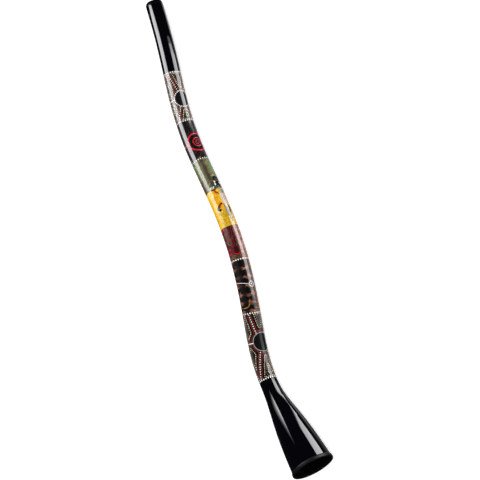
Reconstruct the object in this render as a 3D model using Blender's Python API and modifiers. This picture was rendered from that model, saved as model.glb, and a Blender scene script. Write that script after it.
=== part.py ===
"""A didgeridoo: an S-curved glass-fibre tube with a flared bell, lying on its side on the floor.

The tube is moulded as two half shells, closed along two seams and taped inside. Seven printed wraps lie
flush in a shallow recess around it. A turned mouthpiece plugs into the narrow end, and a rubber guard
is pushed over the rim of the bell.

Everything is first made straight along +X, from the mouth end at x = 0 to the bell end at x = LENGTH,
and then bent along one hidden guide curve. Metres, +Z up.
"""
import bpy
import bmesh
from math import atan2, ceil, cos, pi, radians, sin
from mathutils import Matrix, Vector

MM = 0.001

# --- driving dimensions ---
LENGTH = 1448 * MM                  # along the centreline, end to end
TUBE_RADIUS = 25.5 * MM             # outside of the tube
NECK_RADIUS = 25.2 * MM             # outside of the tube where the bell starts
WALL = 3.0 * MM
GAP = 0.3 * MM                      # clearance between neighbouring pieces

# Heading of the centreline, in degrees, at fractions of its length. It turns smoothly in between.
HEADING_KNOTS = ((0.0, -3.0), (0.148, -9.0), (0.386, 8.4), (0.697, -12.8), (0.881, 13.5), (1.0, 13.5))

# The bell's profile is one Bezier curve from the neck to the rim.
NECK_TAPER_START = 1000 * MM
BELL_START = 1173 * MM
BELL_RADIUS = 59.3 * MM             # outside of the shell at the rim
BELL_NECK_HANDLE = 81 * MM          # how far the neck runs on before it opens
BELL_RIM_HANDLE = 177 * MM
BELL_RIM_SLOPE = 0.072              # the radius still grows this much per length at the rim

# Mouthpiece
MOUTH_HOLE_RADIUS = 15.0 * MM
LIP_LENGTH = 14 * MM                # the part that shows in front of the tube
LIP_ROUND_LENGTH = 10 * MM
LIP_ROUND_DEPTH = 7 * MM
SPIGOT_LENGTH = 25 * MM
SPIGOT_WALL = 1.9 * MM              # at its far end, where the bore opens into the tube

# Rubber guard on the rim of the bell, a U section
GUARD_RADIUS = 61.2 * MM
GUARD_WEB = 3.0 * MM                # rubber between the shell's edge and the end face
GUARD_OUTER_FLANGE = 11 * MM
GUARD_INNER_FLANGE = 8 * MM
GUARD_FLANGE_THICKNESS = 2.0 * MM
GUARD_EDGE_ROUND = 2.0 * MM

# Seam tapes
TAPE_WIDTH = 25 * MM
TAPE_THICKNESS = 0.8 * MM
TAPE_END_CLEARANCE = 2 * MM

# Printed wraps, from the mouth end to the bell: name, colour, and where each ends
WRAP_THICKNESS = 0.6 * MM
WRAPS_START = 224 * MM
WRAPS = (
    ("wrap_upper_dotwork", (0.12, 0.06, 0.05), 381 * MM),
    ("wrap_dark_brown", (0.06, 0.03, 0.02), 510 * MM),
    ("wrap_green_field", (0.16, 0.22, 0.08), 612 * MM),
    ("wrap_yellow_field", (0.85, 0.55, 0.02), 727 * MM),
    ("wrap_maroon_field", (0.15, 0.01, 0.015), 823 * MM),
    ("wrap_brown_field", (0.08, 0.04, 0.02), 975 * MM),
    ("wrap_lower_dotwork", (0.12, 0.06, 0.05), 1171 * MM),
)
WRAPS_END = WRAPS[-1][2]

# How finely the curves are cut
FACETS = 32                         # round the tube
HALF_FACET = pi / FACETS
TUBE_STEP = 42 * MM
BELL_STEP = 22 * MM
ARC_STEPS = 4
GUIDE_POINTS = 145
TAPE_STRIPS = 4

# How it lies: it rolls over onto one bend and the rim, which leaves the plane of the S leaning
REST_LEAN = radians(32.8)
REST_PITCH = radians(0.86)          # the mouth end is lower than the bell's axis

# Ends that follow from the sizes above
SHELL_START = LIP_LENGTH + GAP
SHELL_END = LENGTH - GUARD_WEB - GAP
TAPE_START = LIP_LENGTH + SPIGOT_LENGTH + TAPE_END_CLEARANCE
TAPE_END = LENGTH - GUARD_INNER_FLANGE - GUARD_WEB - TAPE_END_CLEARANCE
REACH = 0.2                         # half the width of a mould block, more than the bell's radius


def ease(t):
    """Smooth step from 0 to 1."""
    return (1 - cos(pi * t)) / 2


def heading(s):
    """Direction of the centreline, in radians, at the distance s from the mouth end."""
    u = s / LENGTH
    for (u0, h0), (u1, h1) in zip(HEADING_KNOTS, HEADING_KNOTS[1:]):
        if u <= u1:
            return radians(h0 + (h1 - h0) * ease((u - u0) / (u1 - u0)))
    return radians(HEADING_KNOTS[-1][1])


def centreline():
    """Points along the S curve in the XY plane, each one short straight step after the last."""
    step = LENGTH / (GUIDE_POINTS - 1)
    points = [Vector((0, 0, 0))]
    for i in range(GUIDE_POINTS - 1):
        angle = heading((i + 0.5) * step)
        points.append(points[-1] + Vector((cos(angle), sin(angle), 0)) * step)
    return points


def bell_radius(x):
    """Outside radius of the bell at x: the Bezier profile, solved for x by halving."""
    ends_x = (BELL_START, BELL_START + BELL_NECK_HANDLE, LENGTH - BELL_RIM_HANDLE, LENGTH)
    ends_r = (NECK_RADIUS, NECK_RADIUS, BELL_RADIUS - BELL_RIM_HANDLE * BELL_RIM_SLOPE, BELL_RADIUS)

    def bezier(p, t):
        return (p[0] * (1 - t) ** 3 + 3 * p[1] * t * (1 - t) ** 2
                + 3 * p[2] * t * t * (1 - t) + p[3] * t ** 3)

    low, high = 0.0, 1.0
    for _ in range(40):
        middle = (low + high) / 2
        if bezier(ends_x, middle) < x:
            low = middle
        else:
            high = middle
    return bezier(ends_r, low)


def outer_radius(x):
    """Outside radius of the bare tube and bell at x."""
    if x <= NECK_TAPER_START:
        return TUBE_RADIUS
    if x <= BELL_START:
        t = (x - NECK_TAPER_START) / (BELL_START - NECK_TAPER_START)
        return TUBE_RADIUS + (NECK_RADIUS - TUBE_RADIUS) * ease(t)
    return bell_radius(x)


def inner_radius(x):
    return outer_radius(x) - WALL


def divide(start, end, step):
    """Positions from start up to, and without, end, evenly spaced by no more than step."""
    count = max(1, ceil((end - start) / step - 1e-6))
    return [start + (end - start) * i / count for i in range(count)]


def stations(start, end):
    """Where every long piece has a ring of points, so that neighbours bend along the same facets."""
    marks = [SHELL_START, TAPE_START, WRAPS_START] + [wrap[2] for wrap in WRAPS] + [BELL_START]
    rings = []
    for a, b in zip(marks, marks[1:]):
        rings += divide(a, b, TUBE_STEP)
    rings += divide(BELL_START, TAPE_END, BELL_STEP) + [TAPE_END, SHELL_END]
    inside = [x for x in rings if start + GAP < x < end - GAP]
    return [start] + inside + [end]


def new_object(name, mesh, collection, frame):
    obj = bpy.data.objects.new(name, mesh)
    obj.parent = frame
    collection.objects.link(obj)
    return obj


def bend(obj, guide):
    """Bend a straight piece along the guide curve."""
    modifier = obj.modifiers.new("bend", "CURVE")
    modifier.object = guide
    modifier.deform_axis = "POS_X"


def runs_forward_outside(outline):
    """True when a closed outline runs towards +X along its outer side."""
    pairs = zip(outline, outline[1:] + outline[:1])
    return sum((b[0] - a[0]) * (a[1] + b[1]) for a, b in pairs) > 0


def turned(name, outline, collection, frame):
    """A closed outline of (x, radius) points, turned once round the X axis."""
    if runs_forward_outside(outline):
        outline = outline[::-1]
    bm = bmesh.new()
    side = Vector((0, cos(HALF_FACET), sin(HALF_FACET)))
    verts = [bm.verts.new(Vector((x, 0, 0)) + side * r) for x, r in outline]
    for a, b in zip(verts, verts[1:] + verts[:1]):
        bm.edges.new((a, b))
    mesh = bpy.data.meshes.new(name)
    bm.to_mesh(mesh)
    bm.free()
    obj = new_object(name, mesh, collection, frame)
    screw = obj.modifiers.new("turn", "SCREW")
    screw.axis = "X"
    screw.angle = 2 * pi
    screw.steps = FACETS
    screw.render_steps = FACETS
    screw.use_merge_vertices = True
    screw.merge_threshold = 0.00001
    screw.use_smooth_shade = True
    return obj


def material(name, colour, roughness):
    mat = bpy.data.materials.new(name)
    mat.use_nodes = True
    shader = mat.node_tree.nodes["Principled BSDF"]
    shader.inputs["Base Color"].default_value = (*colour, 1)
    shader.inputs["Roughness"].default_value = roughness
    shader.inputs["Metallic"].default_value = 0
    return mat


def corner(x, r, size_x, size_r, start_angle, end_angle):
    """Points on an elliptical arc about (x, r), for a rounded corner."""
    angles = [start_angle + (end_angle - start_angle) * i / ARC_STEPS for i in range(ARC_STEPS + 1)]
    return [(x + size_x * cos(a), r + size_r * sin(a)) for a in angles]


# --- the pieces ---

def mould_block(name, side, collection, frame):
    """Half of the mould, a long block above (side 1) or below (side -1) the parting plane."""
    bm = bmesh.new()
    bmesh.ops.create_cube(bm, size=1)
    height = REACH - GAP / 2
    bmesh.ops.scale(bm, vec=(LENGTH + REACH, 2 * REACH, height), verts=bm.verts)
    bmesh.ops.translate(bm, vec=(LENGTH / 2, 0, side * (GAP / 2 + height / 2)), verts=bm.verts)
    mesh = bpy.data.meshes.new(name)
    bm.to_mesh(mesh)
    bm.free()
    obj = new_object(name, mesh, collection, frame)
    obj.hide_render = True
    obj.display_type = "WIRE"
    return obj


def shell_outline():
    """The tube wall: the outside with the recess for the wraps, then back along the inside."""
    recess = GAP + WRAP_THICKNESS
    outside = [(x, outer_radius(x)) for x in stations(SHELL_START, WRAPS_START - GAP)]
    printed = stations(WRAPS_START, WRAPS_END)
    printed[0] -= GAP
    printed[-1] += GAP
    outside += [(x, outer_radius(x) - recess) for x in printed]
    outside += [(x, outer_radius(x)) for x in stations(WRAPS_END + GAP, SHELL_END)]
    inside = [(x, inner_radius(x)) for x in stations(SHELL_START, SHELL_END)]
    return outside + inside[::-1]


def half_shell(name, mould, mat, collection, frame, guide):
    obj = turned(name, shell_outline(), collection, frame)
    trim = obj.modifiers.new("mould_half", "BOOLEAN")
    trim.operation = "INTERSECT"
    trim.solver = "EXACT"
    trim.object = mould
    bend(obj, guide)
    obj.data.materials.append(mat)
    return obj


def seam_tape(name, side, mat, collection, frame, guide):
    """A glass tape laid along the inside of one seam, at +Y (side 1) or -Y (side -1)."""
    rings = stations(TAPE_START, TAPE_END)
    bm = bmesh.new()
    bmesh.ops.create_grid(bm, x_segments=len(rings) - 1, y_segments=TAPE_STRIPS, size=0.5)
    for vert in bm.verts:
        x = rings[round((vert.co.x + 0.5) * (len(rings) - 1))]
        r = inner_radius(x) - GAP
        angle = vert.co.y * TAPE_WIDTH / r
        vert.co = (x, side * r * cos(angle), r * sin(angle))
    if side > 0:
        bmesh.ops.reverse_faces(bm, faces=bm.faces)
    mesh = bpy.data.meshes.new(name)
    bm.to_mesh(mesh)
    bm.free()
    obj = new_object(name, mesh, collection, frame)
    thicken = obj.modifiers.new("thickness", "SOLIDIFY")
    thicken.thickness = TAPE_THICKNESS
    thicken.offset = -1
    bend(obj, guide)
    obj.data.materials.append(mat)
    return obj


def mouthpiece(mat, collection, frame, guide):
    """Rounded lip in front of the tube, with a spigot that plugs into its bore."""
    spigot_end = LIP_LENGTH + SPIGOT_LENGTH
    spigot_radius = TUBE_RADIUS - WALL - GAP
    crest = TUBE_RADIUS - LIP_ROUND_DEPTH
    inner_round = crest - MOUTH_HOLE_RADIUS
    outline = corner(inner_round, crest, inner_round, inner_round, -pi / 2, -pi)[:-1]
    outline += corner(LIP_ROUND_LENGTH, crest, LIP_ROUND_LENGTH, LIP_ROUND_DEPTH, pi, pi / 2)
    outline += [(LIP_LENGTH, TUBE_RADIUS), (LIP_LENGTH, spigot_radius), (spigot_end, spigot_radius),
                (spigot_end, spigot_radius - SPIGOT_WALL)]
    obj = turned("mouthpiece", outline, collection, frame)
    bend(obj, guide)
    obj.data.materials.append(mat)
    return obj


def rim_guard(mat, collection, frame, guide):
    """U-shaped rubber edging: outer flange, end face and inner flange round the shell's edge."""
    web = LENGTH - GUARD_WEB
    outer_start = LENGTH - GUARD_OUTER_FLANGE
    inner_start = LENGTH - GUARD_INNER_FLANGE
    rise = GUARD_RADIUS - outer_radius(outer_start) - GAP
    bore = inner_radius(LENGTH) - GAP - GUARD_FLANGE_THICKNESS
    edge = GUARD_EDGE_ROUND
    outline = corner(outer_start + 2 * rise, GUARD_RADIUS - rise, 2 * rise, rise, pi, pi / 2)
    outline += corner(LENGTH - edge, GUARD_RADIUS - edge, edge, edge, pi / 2, 0)
    outline += corner(LENGTH - edge, bore + edge, edge, edge, 0, -pi / 2)
    outline += [(inner_start, inner_radius(inner_start) - GAP - GUARD_FLANGE_THICKNESS),
                (inner_start, inner_radius(inner_start) - GAP),
                (web, inner_radius(web) - GAP),
                (web, outer_radius(web) + GAP)]
    obj = turned("bell_rim_guard", outline, collection, frame)
    bend(obj, guide)
    obj.data.materials.append(mat)
    return obj


def wrap(name, start, end, mat, collection, frame, guide):
    """A thin printed sleeve that finishes flush with the bare tube on both sides of the recess."""
    rings = stations(start, end)
    outside = [(x, outer_radius(x)) for x in rings]
    inside = [(x, outer_radius(x) - WRAP_THICKNESS) for x in rings]
    obj = turned(name, outside + inside[::-1], collection, frame)
    bend(obj, guide)
    obj.data.materials.append(mat)
    return obj


def make_guide(collection, frame):
    """The hidden centreline that bends every piece."""
    curve = bpy.data.curves.new("centreline", "CURVE")
    curve.dimensions = "3D"
    curve.twist_mode = "Z_UP"
    curve.use_path = True
    curve.use_stretch = False
    curve.use_deform_bounds = False
    points = centreline()
    spline = curve.splines.new("POLY")
    spline.points.add(len(points) - 1)
    for point, co in zip(spline.points, points):
        point.co = (*co, 1)
    guide = new_object("centreline", curve, collection, frame)
    guide.hide_render = True
    guide.display_type = "WIRE"
    return guide


def lay_down(frame, parts):
    """Set the straight line between the ends along X and lean the S over as it comes to rest on the
    floor. Then put the origin at the bottom centre of the box round all the parts."""
    end = centreline()[-1]
    straight = Matrix.Rotation(-atan2(end.y, end.x), 4, "Z")
    lean = Matrix.Rotation(REST_LEAN, 4, "X")
    pitch = Matrix.Rotation(-REST_PITCH, 4, "Y")
    turn = pitch @ lean @ straight
    frame.matrix_world = turn
    bpy.context.view_layer.update()
    depsgraph = bpy.context.evaluated_depsgraph_get()
    points = []
    for obj in parts:
        shape = obj.evaluated_get(depsgraph)
        points += [shape.matrix_world @ vert.co for vert in shape.data.vertices]
    low = [min(p[i] for p in points) for i in range(3)]
    high = [max(p[i] for p in points) for i in range(3)]
    offset = Vector((-(low[0] + high[0]) / 2, -(low[1] + high[1]) / 2, -low[2]))
    frame.matrix_world = Matrix.Translation(offset) @ turn


def build():
    for obj in list(bpy.data.objects):
        bpy.data.objects.remove(obj, do_unlink=True)
    collection = bpy.data.collections.new("didgeridoo")
    guides = bpy.data.collections.new("guides_and_cutters")
    for item in (collection, guides):
        bpy.context.scene.collection.children.link(item)
    frame = bpy.data.objects.new("didgeridoo_frame", None)
    guides.objects.link(frame)
    guide = make_guide(guides, frame)

    gelcoat = material("black_gelcoat", (0.006, 0.006, 0.007), 0.08)
    glass = material("glass_tape", (0.02, 0.02, 0.02), 0.6)
    mouth = material("mouthpiece_black", (0.008, 0.008, 0.009), 0.12)
    rubber = material("black_rubber", (0.02, 0.02, 0.02), 0.55)

    upper_mould = mould_block("upper_mould", 1, guides, frame)
    lower_mould = mould_block("lower_mould", -1, guides, frame)
    parts = [
        half_shell("shell_upper_half", upper_mould, gelcoat, collection, frame, guide),
        half_shell("shell_lower_half", lower_mould, gelcoat, collection, frame, guide),
        seam_tape("seam_tape_left", 1, glass, collection, frame, guide),
        seam_tape("seam_tape_right", -1, glass, collection, frame, guide),
        mouthpiece(mouth, collection, frame, guide),
        rim_guard(rubber, collection, frame, guide),
    ]
    start = WRAPS_START
    for name, colour, end in WRAPS:
        first = start if start == WRAPS_START else start + GAP / 2
        last = end if end == WRAPS_END else end - GAP / 2
        mat = material(name, colour, 0.15)
        parts.append(wrap(name, first, last, mat, collection, frame, guide))
        start = end
    lay_down(frame, parts)


build()
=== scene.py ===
"""The looks of the didgeridoo: a lacquered black tube with seven painted fields and a flared bell.

Every surface is laid out straight first. A place on it is x, the distance along the centreline from the
mouth end; t, the distance round the outside of the tube from the line that faces the viewer; and a
height over that outside. place() bends such places along the S curve, into the frame of the CAD model.
Lengths are in millimetres until place() turns them into metres, and angles round the tube are degrees.
"""

from math import atan2, ceil, cos, pi, radians, sin, tan

import bmesh
import bpy
import numpy as np
from mathutils import Matrix, Vector

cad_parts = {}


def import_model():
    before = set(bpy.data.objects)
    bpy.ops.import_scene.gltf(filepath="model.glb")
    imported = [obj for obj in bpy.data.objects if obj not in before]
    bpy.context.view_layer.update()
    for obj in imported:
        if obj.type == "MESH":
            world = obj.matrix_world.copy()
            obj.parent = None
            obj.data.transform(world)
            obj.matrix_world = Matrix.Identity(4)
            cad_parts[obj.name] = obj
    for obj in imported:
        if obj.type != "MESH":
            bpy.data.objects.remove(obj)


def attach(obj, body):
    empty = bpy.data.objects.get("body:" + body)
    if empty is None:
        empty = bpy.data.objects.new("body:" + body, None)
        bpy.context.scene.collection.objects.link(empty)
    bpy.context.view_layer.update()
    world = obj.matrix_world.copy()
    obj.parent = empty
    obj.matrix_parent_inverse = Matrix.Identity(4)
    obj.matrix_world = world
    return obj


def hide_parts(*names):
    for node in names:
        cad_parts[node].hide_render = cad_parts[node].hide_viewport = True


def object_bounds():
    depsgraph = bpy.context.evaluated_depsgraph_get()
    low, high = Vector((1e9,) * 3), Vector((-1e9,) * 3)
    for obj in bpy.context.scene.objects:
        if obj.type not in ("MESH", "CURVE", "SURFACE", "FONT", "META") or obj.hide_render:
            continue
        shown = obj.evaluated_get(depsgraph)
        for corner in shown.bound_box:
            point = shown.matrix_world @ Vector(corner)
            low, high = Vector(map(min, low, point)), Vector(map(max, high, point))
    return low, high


MM = 0.001

# --- sizes that the CAD model has too ---
LENGTH = 1448
TUBE_RADIUS = 25.5
NECK_RADIUS = 25.2
WALL = 3.0
GAP = 0.3
HEADING_KNOTS = ((0.0, -3.0), (0.148, -9.0), (0.386, 8.4), (0.697, -12.8), (0.881, 13.5), (1.0, 13.5))
NECK_TAPER_START = 1000
BELL_START = 1173
BELL_RADIUS = 59.3
BELL_NECK_HANDLE = 81
BELL_RIM_HANDLE = 177
BELL_RIM_SLOPE = 0.072
MOUTH_HOLE_RADIUS = 15.0
LIP_LENGTH = 14
LIP_ROUND_LENGTH = 10
LIP_ROUND_DEPTH = 7
SPIGOT_LENGTH = 25
SPIGOT_WALL = 1.9
GUARD_RADIUS = 61.2
GUARD_WEB = 3.0
GUARD_OUTER_FLANGE = 11
GUARD_INNER_FLANGE = 8
GUARD_FLANGE_THICKNESS = 2.0
GUARD_EDGE_ROUND = 2.0
TAPE_WIDTH = 25
TAPE_THICKNESS = 0.8
TAPE_END_CLEARANCE = 2
WRAP_THICKNESS = 0.6
FIELDS = {  # where each starts and ends
    "upper_dotwork": (224, 381),
    "dark_brown": (381, 510),
    "green_field": (510, 612),
    "yellow_field": (612, 727),
    "maroon_field": (727, 823),
    "brown_field": (823, 975),
    "lower_dotwork": (975, 1171),
}
PRINT_START, PRINT_END = FIELDS["upper_dotwork"][0], FIELDS["lower_dotwork"][1]
REST_LEAN = radians(32.8)
REST_PITCH = radians(0.86)

# --- how it is laid out and seen ---
FACING = 43  # angle from the seam at +Y up to the line that faces the viewer
ROUND = 2 * pi * TUBE_RADIUS
FAR_SIDE = ROUND / 2  # t of the line opposite the viewer
SEGMENTS = 96  # round the tube
RING_STEP = 6
SEAM_LINE = 0.04  # what still shows of the gap between the half shells
PAINT = 0.12  # thickness of a dot or a stroke
SUNK = 0.15  # how deep its underside sits in the lacquer
LEVEL = 0.05  # each later coat of paint lies this much higher
BORDER_PITCH, BORDER_DOT = 6.9, 2.0  # the white dots round the tube at the end of a field

VIEW_AZIMUTH, VIEW_ELEVATION, VIEW_ROLL = radians(133.16), radians(70.2), radians(-64.09)
VIEW_DISTANCE = 4.5
VIEW_LENS = 119.9
VIEW_SHIFT = (0.0206, -0.0308)

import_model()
cad_low, cad_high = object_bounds()

PAINTS = {
    "white": (240, 238, 230),
    "cream": (214, 202, 172),
    "sand": (112, 104, 80),
    "black": (12, 12, 12),
    "oxide_red": (50, 8, 10),
    "ember": (150, 40, 34),
    "rust": (158, 70, 38),
    "red": (222, 24, 46),
    "gold": (158, 110, 46),
    "umber": (58, 44, 38),
    "olive": (134, 148, 84),
    "leaf_green": (132, 150, 94),
    "clay": (134, 74, 52),
    "walnut": (96, 70, 50),
    "orange": (240, 140, 20),
    "ochre": (150, 116, 16),
    "plume_white": (206, 204, 198),
    "ash": (122, 122, 108),
    "silver_grey": (176, 174, 170),
    "slate": (70, 74, 82),
    "rose": (204, 50, 34),
    "crimson": (172, 8, 28),
    "moss": (92, 92, 50),
}
UNEVENNESS = {"white": 0.12, "plume_white": 0.35}  # what thin paint loses of its light, if not 0.25

PANELS = (  # name, roll, spread, distance, marks along X, radiance between them
    ("left", -66.5, 51, 1.5, (-1.36, -1.0, -0.775, -0.66, -0.52, -0.45, -0.35), (13, 12, 9.5, 5.7, 2.5, 1.2)),
    ("right", 71.5, 41, 1.4, (-0.885, -0.82, -0.75, -0.5, -0.1, 0.22, 0.36, 0.45, 0.55),
     (2, 7, 9.5, 10.3, 7, 4.6, 2, 1.2)),
    ("neck", 94, 6, 1.4, (-0.78, -0.6), (10,)),
    ("near_floor", 138, 42, 2, (-1.7, -1.2), (1.1,)),
    ("far_floor", 140, 36, 2, (-1.2, -0.85, -0.28, 1.0), (0.4, 0.65, 0.2)),
)


# --- the tube's shape ---

def ease(x, start, end):
    """Rises smoothly from 0 at start to 1 at end."""
    return (1 - np.cos(pi * np.clip((x - start) / (end - start), 0, 1))) / 2


def heading(s):
    """Direction of the centreline, in radians, at distances s."""
    u = np.asarray(s, float) / LENGTH
    angle = np.full(u.shape, HEADING_KNOTS[-1][1], float)
    for (u0, h0), (u1, h1) in reversed(list(zip(HEADING_KNOTS, HEADING_KNOTS[1:]))):
        angle = np.where(u <= u1, h0 + (h1 - h0) * ease(u, u0, u1), angle)
    return np.radians(angle)


def outer_radius(x):
    """Outside radius of the bare tube and bell at x."""
    x = np.asarray(x, float)
    tube = TUBE_RADIUS + (NECK_RADIUS - TUBE_RADIUS) * ease(x, NECK_TAPER_START, BELL_START)
    ends_x = (BELL_START, BELL_START + BELL_NECK_HANDLE, LENGTH - BELL_RIM_HANDLE, LENGTH)
    ends_r = (NECK_RADIUS, NECK_RADIUS, BELL_RADIUS - BELL_RIM_HANDLE * BELL_RIM_SLOPE, BELL_RADIUS)
    u = np.linspace(0, 1, 400)
    weights = ((1 - u) ** 3, 3 * u * (1 - u) ** 2, 3 * u * u * (1 - u), u ** 3)
    bell = np.interp(x, sum(w * p for w, p in zip(weights, ends_x)),
                     sum(w * p for w, p in zip(weights, ends_r)))
    return np.where(x <= BELL_START, tube, bell)


def skin(x):
    """Outside radius at one place, as a plain number."""
    return float(outer_radius(x))


def lining(x):
    """Radius of what lies against the inside of the shells at x."""
    return skin(x) - WALL - GAP


STATIONS = np.arange(LENGTH + 1)
STEPS = heading(STATIONS[:-1] + 0.5)
CENTRELINE = np.vstack([np.zeros(2), np.cumsum(np.stack([np.cos(STEPS), np.sin(STEPS)], 1), 0)])
TURN = np.array(Matrix.Rotation(-REST_PITCH, 3, "Y") @ Matrix.Rotation(REST_LEAN, 3, "X")
                @ Matrix.Rotation(-atan2(CENTRELINE[-1, 1], CENTRELINE[-1, 0]), 3, "Z"))


def bend(x, radius, angle):
    """Straight places bent along the S curve and laid on their side, in metres, not yet moved."""
    ahead = heading(x)
    out = radius * np.cos(np.radians(FACING - angle))
    up = radius * np.sin(np.radians(FACING - angle))
    along = np.interp(x, STATIONS, CENTRELINE[:, 0]) - out * np.sin(ahead)
    across = np.interp(x, STATIONS, CENTRELINE[:, 1]) + out * np.cos(ahead)
    return np.stack([along, across, up], -1) @ TURN.T * MM


def middle_of_model():
    """How far the bent model has to move to fill the CAD model's box and rest on the floor."""
    around = np.arange(0, 360, 3)
    x, angle = [grid.ravel() for grid in np.meshgrid(STATIONS[::4], around)]
    tube = bend(x, outer_radius(x), angle)
    ring = bend(LENGTH - GUARD_EDGE_ROUND, GUARD_RADIUS, around)
    face = bend(LENGTH, GUARD_RADIUS - GUARD_EDGE_ROUND, around)
    points = np.vstack([tube, ring, face])
    low, high = points.min(0), points.max(0)
    middle = (np.array(cad_low) + np.array(cad_high)) / 2 - (low + high) / 2
    middle[2] = cad_low.z - low[2]
    return middle


MIDDLE = middle_of_model()


def place(x, radius, angle):
    """Points in the CAD model's frame, in metres, for arrays of x, radius and angle."""
    return bend(x, radius, angle) + MIDDLE


# --- building pieces ---

def put(name, data):
    """A new object in the scene."""
    thing = bpy.data.objects.new(name, data)
    bpy.context.scene.collection.objects.link(thing)
    return thing


def new_piece(name, places, faces, materials, stands_for=None, material_of=None):
    """A piece whose places are rows of (x, radius, angle). It keeps its straight shape as an attribute,
    so that a pattern can follow the tube round and along it. stands_for names the CAD part it replaces."""
    x, radius, angle = np.asarray(places, float).T
    mesh = bpy.data.meshes.new(name)
    mesh.from_pydata(place(x, radius, angle).tolist(), [], faces)
    straight = np.stack([x, radius * np.cos(np.radians(angle)), radius * np.sin(np.radians(angle))], 1)
    attribute = mesh.attributes.new("straight", "FLOAT_VECTOR", "POINT")
    attribute.data.foreach_set("vector", straight.astype(np.float32).ravel())
    for material in materials:
        mesh.materials.append(material)
    if material_of:
        mesh.polygons.foreach_set("material_index", material_of)
    bm = bmesh.new()
    bm.from_mesh(mesh)
    bmesh.ops.recalc_face_normals(bm, faces=bm.faces)
    bm.to_mesh(mesh)
    bm.free()
    mesh.shade_smooth()
    mesh.set_sharp_from_angle(angle=radians(35))
    piece = put(name, mesh)
    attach(piece, "root")
    if stands_for:
        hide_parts(stands_for)


def stations(start, end, extra=()):
    """Places for rings from start to end, close enough for a smooth bend."""
    marks = np.linspace(start, end, ceil((end - start) / RING_STEP) + 1)
    return sorted(set(marks) | set(m for m in extra if start < m < end))


def quads(grid):
    """The faces between neighbours in a grid of point numbers."""
    corners = grid[:-1, :-1], grid[:-1, 1:], grid[1:, 1:], grid[1:, :-1]
    return np.stack(corners, -1).reshape(-1, 4).tolist()


def turned(name, outline, material, stands_for):
    """A closed outline of (x, radius) points, turned once round."""
    angles = np.arange(SEGMENTS) * 360 / SEGMENTS
    places = [(x, r, a) for a in angles for x, r in outline]
    grid = np.arange(len(places)).reshape(SEGMENTS, len(outline))
    faces = quads(np.pad(grid, (0, 1), "wrap"))
    new_piece(name, places, faces, [material], stands_for)


def wall(name, outside, inside, materials, stands_for):
    """A closed wall between two grids of places, each a list of rows. The inside has the last material."""
    rows, wide = len(outside), len(outside[0])
    outer = np.arange(rows * wide).reshape(rows, wide)
    inner = outer + rows * wide
    faces = quads(outer) + quads(inner)
    which = np.repeat([0, len(materials) - 1], len(faces) // 2).tolist()
    for edge in (0, -1):
        faces += quads(np.stack([outer[edge], inner[edge]]))
        faces += quads(np.stack([outer[:, edge], inner[:, edge]]))
    which += [0] * (len(faces) - len(which))
    places = [place for row in outside + inside for place in row]
    new_piece(name, places, faces, materials, stands_for, which)


def corner(x, r, size_x, size_r, start, end, steps=8):
    """Points on an elliptical arc about (x, r), for a rounded corner."""
    angles = np.radians(np.linspace(start, end, steps + 1))
    return [(x + size_x * cos(a), r + size_r * sin(a)) for a in angles]


# --- materials ---

def srgb(red, green, blue, share=1):
    """A colour as Blender wants it, from its usual 0 to 255 values, darkened to a share of its light."""
    return tuple(share * (((v / 255 + 0.055) / 1.055) ** 2.4 if v > 10 else v / 255 / 12.92)
                 for v in (red, green, blue)) + (1,)


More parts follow.
